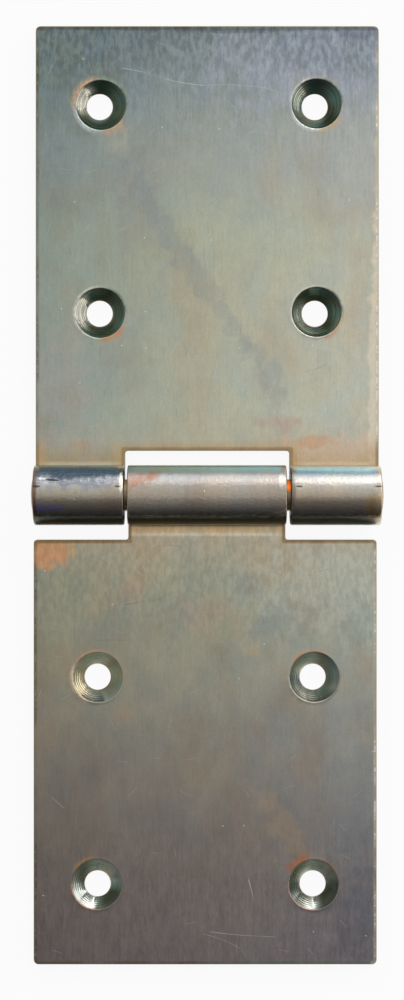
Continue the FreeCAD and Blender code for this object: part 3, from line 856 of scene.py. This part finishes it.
# Round each sink the orange, tan and greenish arcs are stains, the pale arcs painted highlights on
# the burr, and the dark arcs painted shade where the face dips into the sink. Each cone gets
# painted shade on one side, and its chatter facets a painted highlight.
upper_sinks = [
    {
        "off": (0.1, -0.05), "sides": [(40, 0.3, SHADED)], "rings": 0.03, "torn": 175,
        "facets": [(132, 212, 0.26)],
        "arcs_of_stain_light_and_shade": [
            (150, 70, 0.5, PAINTED_BURR_HIGHLIGHT, 0.7), (235, 50, 0.45, PAINTED_BURR_HIGHLIGHT, 0.5), (35, 45, 0.5, DARK_SCRATCH_AND_SHADE, 0.9),
            (296, 34, 1.1, ORANGE, 0.8), (322, 22, 0.7, ORANGE, 0.5),
        ],
    },
    {
        "off": (0.2, 0.1), "sides": [(60, 0.3, SHADED)], "rings": 0.03, "torn": 225,
        "facets": [(150, 205, 0.08)],
        "arcs_of_stain_light_and_shade": [
            (165, 95, 0.35, tone(240, 226, 200), 0.8), (225, 60, 0.45, PAINTED_BURR_HIGHLIGHT, 0.7),
            (35, 45, 0.4, DARK_SCRATCH_AND_SHADE, 0.9), (306, 22, 1.1, ORANGE, 0.7), (340, 24, 0.5, ORANGE, 0.4),
        ],
    },
    {
        "off": (0.25, -0.05), "sides": [(-20, 0.3, SHADED)], "rings": 0.03, "torn": 160,
        "facets": [(122, 196, 0.26)],
        "arcs_of_stain_light_and_shade": [
            (142, 56, 1.1, tone(232, 182, 138), 0.75), (55, 45, 0.8, tone(160, 176, 136), 0.6),
            (225, 60, 0.75, tone(204, 210, 206), 0.9), (20, 40, 0.45, DARK_SCRATCH_AND_SHADE, 0.9),
            (300, 34, 1.6, tone(214, 170, 124), 0.7),
        ],
    },
    {
        "off": (0.2, 0.16), "sides": [(-30, 0.3, SHADED)], "rings": 0.03, "torn": 180,
        "facets": [(130, 198, 0.12)],
        "arcs_of_stain_light_and_shade": [
            (95, 80, 1.5, tone(196, 184, 164), 0.45), (150, 60, 0.4, PAINTED_BURR_HIGHLIGHT, 0.7),
            (245, 60, 0.65, tone(240, 238, 230), 0.9), (40, 50, 0.4, DARK_SCRATCH_AND_SHADE, 0.9),
            (305, 36, 1.1, TAN, 0.9),
        ],
    },
]
upper_skin = zinc_skin(
    "zinc_of_upper_leaf", upper_stops_with_painted_light, upper_painted_side_shade, top_grain=46, scuffs=(56, 67, 0.62),
    blue_sheen_at=-14.05, blue_sheen_tones=(tone(66, 94, 114), tone(150, 196, 220)), brown_side=-1,
    root_glow=0.5, patches=upper_stains_and_painted_light, sinks=upper_sinks, scratches=upper_scratches, seed=1,
)
edge_skin = sheared_edge("sheared_edge")
upper_cone = sink_cut(
    "upper_cone", tone(108, 112, 90), tone(88, 120, 110), tone(252, 240, 224),
    ringing=1.8, sinks=upper_sinks,
)
upper_marks = [
    (-24.3, -11.52, 0.6, 0.14, 0.07),
    (-12.8, -11.52, 0.5, 0.14, 0.07),
    (13.1, -11.52, 0.5, 0.14, 0.07),
    (24.6, -11.52, 0.5, 0.14, 0.07),
    (-22.4, -12.34, 1, 0.3, 0.1),
]
upper = leaf_mesh(
    "leaf_with_two_knuckles",
    walls=(-12 * MM, 12 * MM),
    hollow="middle",
    sinks=upper_sinks,
    marks=upper_marks,
    place={"turn": 1, "shift": 0, "jaw_line": 0.01},
    materials=[upper_skin, edge_skin, upper_cone],
)
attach(upper, "fixed_leaf")
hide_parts("two_knuckle_leaf")

# The lower leaf: the same strip turned end for end, its root cut away at both sides so that
# one knuckle stands between the other two. Its zinc is darker and more rubbed.
# Tones along the strip, with painted light round the knuckle: a brighter neutral band where the
# highlight falls, and a dark line of painted shade on its side away from the window. At the root a
# dark line is a painted contact shadow under the knuckle, the tan band beyond it a painted
# reflection of the knuckle, and the pale line a painted highlight along the jaw's line. The plate
# darkens towards its far end.
lower_stops_with_painted_light = [
    (-18, 120, 118, 100), (-14.2, 140, 134, 108), (-13.1, 84, 84, 74), (-12.7, 156, 150, 140),
    (-11.6, 188, 176, 164), (-10.3, 187, 173, 155), (-9.2, 181, 173, 163),
    (-8.6, 188, 184, 180), (-7.6, 160, 162, 160), (-6.6, 130, 148, 146), (-4, 150, 138, 122),
    (4.4, 104, 84, 46), (4.75, 236, 208, 160), (5.35, 240, 208, 160), (5.5, 255, 246, 220),
    (5.66, 255, 246, 220), (5.85, 212, 200, 174), (14, 196, 197, 176), (28, 183, 180, 165),
    (42, 165, 159, 151), (56, 151, 142, 138), (70, 146, 136, 139),
]
# Painted shade across the strip: darker at the high end of across, which this leaf, turned end for
# end, lays to the left, away from the lamps.
lower_painted_side_shade = [
    (-26, 255, 255, 255), (0, 242, 236, 226), (26, 224, 216, 204),
]
lower_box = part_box("one_knuckle_leaf")
lower_shift = (lower_box[0].x + lower_box[1].x) / 2
# Stains and tints, and one painted highlight, as marked.
lower_stains_and_painted_light = [
    ((24.6, 7.4), (4.6, 3.3), 0.5, tone(232, 167, 118), 0.83, -18),
    ((22, 6.6), (6.5, 0.5), 0.8, tone(214, 150, 100), 0.7),
    ((19.2, 7.8), (0.3, 1.7), 0.8, tone(224, 176, 106), 0.7),
    ((9.6, -8.9), (1.9, 0.8), 1.4, tone(170, 112, 80), 0.6, -22),
    ((7, -7.8), (2.2, 0.6), 1.4, tone(160, 114, 88), 0.6, -26),
    # A painted highlight on the right end of the middle knuckle.
    ((-10.9, -8.9), (0.35, 0.8), 0.9, tone(240, 232, 216), 0.4),
    ((10.5, 13.5), (2, 2.4), 0.9, tone(200, 164, 142), 0.35),
    ((-7.2, 22.8), (1.5, 1.2), 1, TAN, 0.45, 20),
    ((11.8, 32), (1.3, 1.1), 1.2, ORANGE, 0.15),
    ((1, 17), (4, 2.6), 0.9, tone(196, 162, 148), 0.25),
    ((-12, 49.4), (1.7, 5.4), 0.8, tone(190, 160, 120), 0.34, 32),
    ((-22.5, 62), (4, 8), 1.2, tone(98, 92, 98), 0.4),
    ((-17.5, 12), (8.5, 6.5), 1.4, tone(218, 214, 196), 0.38),
    ((-6.6, 13), (1.6, 2.4), 1.2, BLUISH, 0.22, -30),
    ((-9, 19), (2.6, 1.8), 1.2, BLUISH, 0.22, 20),
    ((-22, 50), (2.6, 14), 1.2, BLUISH, 0.25),
]
lower_scratches = [
    ([(-10.5, 64.4), (-5, 64.1), (-0.6, 63.6)], 0.07, 0.6, SCORED),
    ([(-5.2, 66.2), (-3, 65), (0.4, 63.9)], 0.06, 0.4, SCORED),
    ([(6.8, 13.7), (8, 11.6), (9.2, 10.4)], 0.13, 0.6, SCORED),
    ([(20.6, 45.6), (22.4, 44)], 0.06, 0.5, SCORED),
    ([(11, 8), (10.3, 10.4), (9, 11.8)], 0.2, 0.5, SCORED),
    ([(-6.3, 56), (-6.7, 57.4), (-7.1, 59.2)], 0.34, 0.7, SCORED),
    ([(11.3, 11.7), (13.4, 10.6), (15.6, 9.1)], 0.1, 0.5, DARK_SCRATCH_AND_SHADE),
    ([(5.3, 13), (6.3, 15), (9.6, 15.6), (11.9, 16)], 0.1, 0.5, DARK_SCRATCH_AND_SHADE),
    ([(15.8, 17.5), (17.1, 18.4)], 0.1, 0.5, DARK_SCRATCH_AND_SHADE),
    ([(10.7, 21.3), (13.4, 21.1), (15.9, 21.3)], 0.08, 0.4, DARK_SCRATCH_AND_SHADE),
    ([(-18, 10.8), (-15.5, 11.5), (-14, 12.8)], 0.08, 0.4, DARK_SCRATCH_AND_SHADE),
    ([(3.4, 7.6), (5.6, 7.3), (7.8, 8.2)], 0.08, 0.4, DARK_SCRATCH_AND_SHADE),
]
BLUSH = tone(206, 150, 128)
LIT = tone(206, 212, 190)
# Each cone gets painted shade on one side and painted light on another. The warm side and the warm
# arc of the second sink are painted highlights on its left rim, and the pale and dark arcs are
# painted highlight and painted shade as above.
lower_sinks = [
    {
        "off": (-0.15, -0.1), "torn": 50, "rings": 0.012,
        "sides": [(140, 0.35, SHADED), (-55, 0.8, LIT)],
        "facets": [(-5, 45, 0.06), (60, 105, 0.08)],
        "arcs_of_stain_light_and_shade": [(285, 50, 0.7, ORANGE, 0.8), (50, 70, 0.4, PAINTED_BURR_HIGHLIGHT, 0.5), (160, 50, 0.4, DARK_SCRATCH_AND_SHADE, 0.6)],
    },
    {
        "off": (-0.1, -0.05), "torn": 30, "rings": 0.012,
        "sides": [(120, 0.2, SHADED), (-70, 0.9, LIT), (10, 0.6, tone(252, 230, 188))],
        "facets": [(10, 50, 0.12), (58, 104, 0.08)],
        "arcs_of_stain_light_and_shade": [(288, 40, 0.6, ORANGE, 0.6), (20, 56, 0.6, tone(248, 220, 184), 0.9)],
    },
    {
        "off": (-0.05, -0.15), "torn": 60, "rings": 0.005,
        "sides": [(146, 1, SHADED), (-45, 0.8, LIT)],
        "facets": [(14, 44, 0.1), (70, 98, 0.24)],
        "arcs_of_stain_light_and_shade": [
            (306, 34, 1.6, tone(200, 122, 76), 0.9), (235, 34, 0.5, tone(182, 128, 86), 0.6),
            (50, 65, 0.35, BLUSH, 0.8),
        ],
    },
    {
        "off": (0.05, -0.2), "torn": 35, "rings": 0.005,
        "sides": [(135, 0.9, SHADED), (-45, 0.7, LIT)],
        "facets": [(8, 46, 0.22), (54, 86, 0.26)],
        "arcs_of_stain_light_and_shade": [(302, 30, 1.1, tone(176, 130, 84), 0.8), (45, 60, 0.4, BLUSH, 0.9)],
    },
]
lower_skin = zinc_skin(
    "zinc_of_lower_leaf", lower_stops_with_painted_light, lower_painted_side_shade, top_grain=44, scuffs=(26, 14, 0.28),
    blue_sheen_at=-6.7, blue_sheen_tones=(tone(132, 188, 206), tone(140, 162, 156)), brown_side=1,
    root_glow=0.2, patches=lower_stains_and_painted_light, sinks=lower_sinks, scratches=lower_scratches, seed=31,
)
lower_cone = sink_cut(
    "lower_cone", tone(152, 146, 130), tone(126, 146, 138), tone(222, 222, 220),
    ringing=0.7, sinks=lower_sinks,
)
lower = leaf_mesh(
    "leaf_with_one_knuckle",
    walls=(-11.7 * MM, 11.2 * MM),
    hollow="sides",
    sinks=lower_sinks,
    marks=[],
    place={"turn": -1, "shift": lower_shift, "jaw_line": 0.05},
    materials=[lower_skin, edge_skin, lower_cone],
)
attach(lower, "swinging_leaf")
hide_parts("one_knuckle_leaf")

# The pin: 4.6 mm round wire pushed through all three knuckles and hammered over into a low
# dome at each end, so that it cannot walk out. The blows rubbed its zinc down to brown.
PIN_RADIUS = 2.3 * MM
HEAD_RADIUS = 2.55 * MM


def pin_mesh(name, material):
    """A turned shape: rows of (place along the pin, radius), each carried round its axis.

    The dome is a quarter of a flattened circle, and the blows make its radius uneven by the
    product of two sines.
    """
    dome = np.linspace(0, math.pi / 2, 12)
    rise = 0.35 * MM
    head = HALF_WIDTH + 0.45 * MM - rise
    shank = np.linspace(HALF_WIDTH - 0.05 * MM, 0, 40)
    run = np.concatenate([head + rise * np.cos(dome)[:-1], [head], shank])
    radius = np.append(HEAD_RADIUS * np.sin(dome)[:-1], HEAD_RADIUS)
    radius = np.concatenate([radius, np.full(len(shank), PIN_RADIUS)])
    run = np.concatenate([run, -run[-2::-1]])
    radius = np.concatenate([radius, radius[-2::-1]])
    angle = np.linspace(0, 2 * math.pi, 97)[:-1]
    struck = smooth((np.abs(run)[:, None] - head) / rise)
    blows = 1 - 0.03 * (1 + np.sin(3 * angle + 1) * np.sin(5 * angle)) * struck
    x = run[:, None] + 0 * angle
    y = radius[:, None] * blows * np.sin(angle)
    z = PIN_HEIGHT - radius[:, None] * blows * np.cos(angle)
    number = np.arange(x.size).reshape(x.shape)
    number = np.hstack([number, number[:, :1]])
    faces = quads(number)
    points = np.stack([x, y, z], -1).reshape(-1, 3)
    return closed_surface(name, points, faces, np.zeros(len(faces), int), [material], weld=True)


def pin_finish(name):
    """Plated wire: brown, with bare orange copper flash where it was struck or rubbed; the pale
    peach on its right end is partly that and partly a painted highlight.
    """
    wire = Finish(name, 0.3)
    place = wire.scaled(wire.add("TexCoord", {}, "Object"), 1 / MM)
    rub = wire.cloud(place, (0.9, 0.5, 0.5), 3.0, 3.0)
    colour = wire.mix(wire.step(rub, 0.2, 0.8), tone(140, 120, 96), tone(168, 144, 114))
    ragged = wire.math("MULTIPLY_ADD", rub, 0.8, -0.4)
    glow = wire.patch(place, ragged, (11.7, 1.35), (0.8, 0.8), 0.6)
    colour = wire.mix(glow, colour, tone(255, 120, 40))
    # The right end's dome gets a pale peach: partly copper struck bare, partly a painted highlight.
    struck = wire.patch(place, ragged, (25.5, 0.3), (0.5, 2.3), 0.9)
    struck = wire.times(struck, wire.step(rub, 0.3, 0.65, 0.3, 0.7))
    colour = wire.mix(struck, colour, tone(240, 196, 162))
    return wire.dress(colour, rub, 0.4, 0.02)


pin = pin_mesh("riveted_pin", pin_finish("rubbed_wire"))
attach(pin, "fixed_leaf")
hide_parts("hinge_pin")

# The studio: a pale paper floor that shows white, one wide soft window behind the upper leaf,
# a dim sheet of light overhead, a small lamp low at the right, and nothing in front, which
# leaves the knuckles dark there.
floor_half = 3.0
floor_drop = 0.02 * MM
corners = [(-1, -1), (1, -1), (1, 1), (-1, 1)]
floor_mesh = bpy.data.meshes.new("paper_floor")
floor_mesh.from_pydata(
    [(x * floor_half, y * floor_half, -floor_drop) for x, y in corners],
    [],
    [(0, 1, 2, 3)],
)
floor = bpy.data.objects.new("paper_floor", floor_mesh)
bpy.context.scene.collection.objects.link(floor)
paper = Finish("white_paper", 0.9, metallic=0.0)
paper.shader.inputs["Base Color"].default_value = tone(232, 232, 230)
seen = paper.add("LightPath", {}, "Is Camera Ray")
for kind in ("Is Glossy Ray", "Is Transmission Ray"):
    seen = paper.math("MAXIMUM", seen, paper.add("LightPath", {}, kind))
glow = paper.add("Emission", {})
lit = {0: paper.times(seen, 0.92), 1: paper.shader.outputs["BSDF"], 2: glow}
paper.feed(paper.tree.nodes["Material Output"].inputs["Surface"], paper.add("MixShader", lit))
floor_mesh.materials.append(paper.material)

# The walls are lightest behind the upper leaf.
world = bpy.data.worlds.new("studio_walls")
bpy.context.scene.world = world
world.use_nodes = True
walls = world.node_tree
where = walls.nodes.new("ShaderNodeTexCoord")
parts = walls.nodes.new("ShaderNodeSeparateXYZ")
walls.links.new(where.outputs["Generated"], parts.inputs[0])
level = walls.nodes.new("ShaderNodeMapRange")
for socket, value in {"From Min": -1.0, "From Max": 1.0, "To Min": 0.06, "To Max": 1.1}.items():
    level.inputs[socket].default_value = value
walls.links.new(parts.outputs["Y"], level.inputs["Value"])
walls.links.new(level.outputs["Result"], walls.nodes["Background"].inputs["Strength"])
walls.nodes["Background"].inputs["Color"].default_value = tone(244, 250, 255)


def softbox(name, place, aim, size, shade, power):
    """An oblong lamp that shines from its place toward aim, and isn't seen itself."""
    data = bpy.data.lights.new(name, "AREA")
    data.shape = "RECTANGLE"
    data.size, data.size_y = size
    data.color = shade[:3]
    data.energy = power
    lamp = bpy.data.objects.new(name, data)
    bpy.context.scene.collection.objects.link(lamp)
    lamp.location = place
    lamp.rotation_euler = (Vector(aim) - Vector(place)).to_track_quat("-Z", "Y").to_euler()
    lamp.visible_camera = False


softbox("window", (0.14, 0.79, 0.41), (0, 0, 0), (1.5, 0.7), tone(246, 250, 255), 1.7)
softbox("sunny_pane", (0.41, 0.66, 0.36), (0, 0, 0), (0.75, 0.6), tone(255, 240, 220), 1.7)
softbox("overhead", (0.1, 0.38, 1.0), (0.1, 0.38, 0), (1.3, 1.2), tone(250, 252, 255), 0.9)
softbox("low_lamp", (0.2, 0.0, 0.075), (0, 0, 0), (0.22, 0.08), tone(255, 250, 242), 0.065)

# The camera looks straight down on the faces of the leaves.
distance = 0.3
picture_height = 0.14577
camera_data = bpy.data.cameras.new("camera")
camera_data.sensor_width = 36
camera_data.lens = camera_data.sensor_width * distance / picture_height
camera_data.clip_start = 0.01
camera = bpy.data.objects.new("camera", camera_data)
bpy.context.scene.collection.objects.link(camera)
camera.location = (-0.76 * MM, -0.7 * MM, distance + STRIP)
bpy.context.scene.camera = camera
bpy.context.scene.view_settings.view_transform = "Standard"
